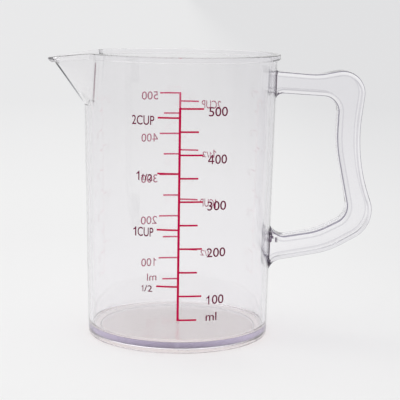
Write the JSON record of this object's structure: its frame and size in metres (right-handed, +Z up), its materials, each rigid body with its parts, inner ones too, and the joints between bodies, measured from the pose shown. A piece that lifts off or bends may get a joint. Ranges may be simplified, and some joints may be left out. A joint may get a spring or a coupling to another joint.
{
  "type": "measuring jug",
  "caption": "Clear plastic measuring jug: tapered round body with a pouring spout opposite a looped handle, and printed volume scales for filling and pouring liquids.",
  "frame": {"origin": "on the axis of the round body, in the plane of the foot ring that the jug stands on", "axes": "+Z up along the axis of the body, +X towards the handle, so the spout points along -X, and -Y towards the front scale"},
  "size_m": [0.146, 0.089, 0.1269],
  "materials": {
    "clear_body": "gloss",
    "clear_handle": "gloss",
    "crimson_ink": "satin"
  },
  "bodies": {
    "root": {"vessel": "clear_body", "handle": "clear_handle", "front_scale": "crimson_ink", "rear_scale": "crimson_ink"}
  },
  "joints": []
}
